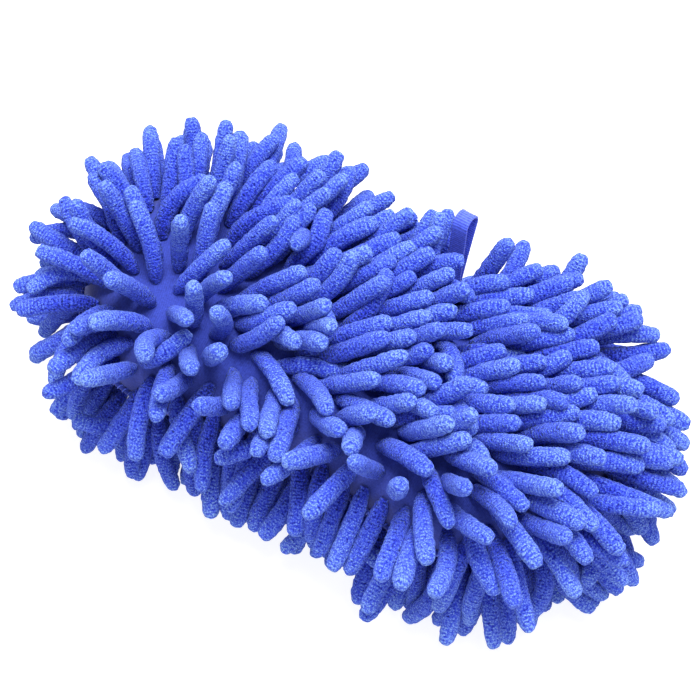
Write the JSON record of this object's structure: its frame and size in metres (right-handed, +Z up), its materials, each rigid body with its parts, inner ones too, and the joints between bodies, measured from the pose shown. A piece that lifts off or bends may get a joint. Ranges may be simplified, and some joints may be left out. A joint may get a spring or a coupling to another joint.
{
  "type": "chenille wash pad",
  "caption": "Figure-8 foam wash pad in a sewn cloth cover, tufted all over with soft chenille fingers, with a folded tape hang loop at its waist.",
  "frame": {"origin": "on the table under the middle of the pad", "axes": "+X along the pad, +Y across it towards the hang loop's side, +Z up"},
  "size_m": [0.2482, 0.1458, 0.0909],
  "materials": {
    "chenille": "matt looped microfibre with a soft nap",
    "cover_cloth": "smooth knitted backing cloth",
    "tape": "flat woven tape",
    "thread": "twisted sewing thread",
    "foam": "open-cell foam"
  },
  "bodies": {
    "pad": {"foam_block": "foam", "upper_cover": "cover_cloth", "lower_cover": "cover_cloth", "seam_overlock": "thread", "closing_stitches": "thread", "loop_tail": "tape", "upper_pile_row_1": "chenille", "upper_pile_row_2": "chenille", "upper_pile_row_3": "chenille", "upper_pile_row_4": "chenille", "upper_pile_row_5": "chenille", "upper_pile_row_6": "chenille", "upper_pile_row_7": "chenille", "upper_pile_row_8": "chenille", "upper_pile_row_9": "chenille", "upper_pile_row_10": "chenille", "upper_pile_row_11": "chenille", "upper_pile_row_12": "chenille", "upper_pile_row_13": "chenille", "upper_pile_row_14": "chenille", "upper_pile_row_15": "chenille", "lower_pile_row_1": "chenille", "lower_pile_row_2": "chenille", "lower_pile_row_3": "chenille", "lower_pile_row_4": "chenille", "lower_pile_row_5": "chenille", "lower_pile_row_6": "chenille", "lower_pile_row_7": "chenille", "lower_pile_row_8": "chenille", "lower_pile_row_9": "chenille", "lower_pile_row_10": "chenille", "lower_pile_row_11": "chenille", "lower_pile_row_12": "chenille", "lower_pile_row_13": "chenille", "lower_pile_row_14": "chenille", "lower_pile_row_15": "chenille"},
    "loop": {"hang_loop": "tape"}
  },
  "joints": [
    {"name": "loop_flap", "type": "hinge", "parent": "pad", "child": "loop", "pos_m": [0.01772, 0.04468, 0.042], "axis": [0.9951, 0.0993, 0], "range_deg": [-92, 6], "stiffness_Nm_per_rad": 0.004}
  ]
}
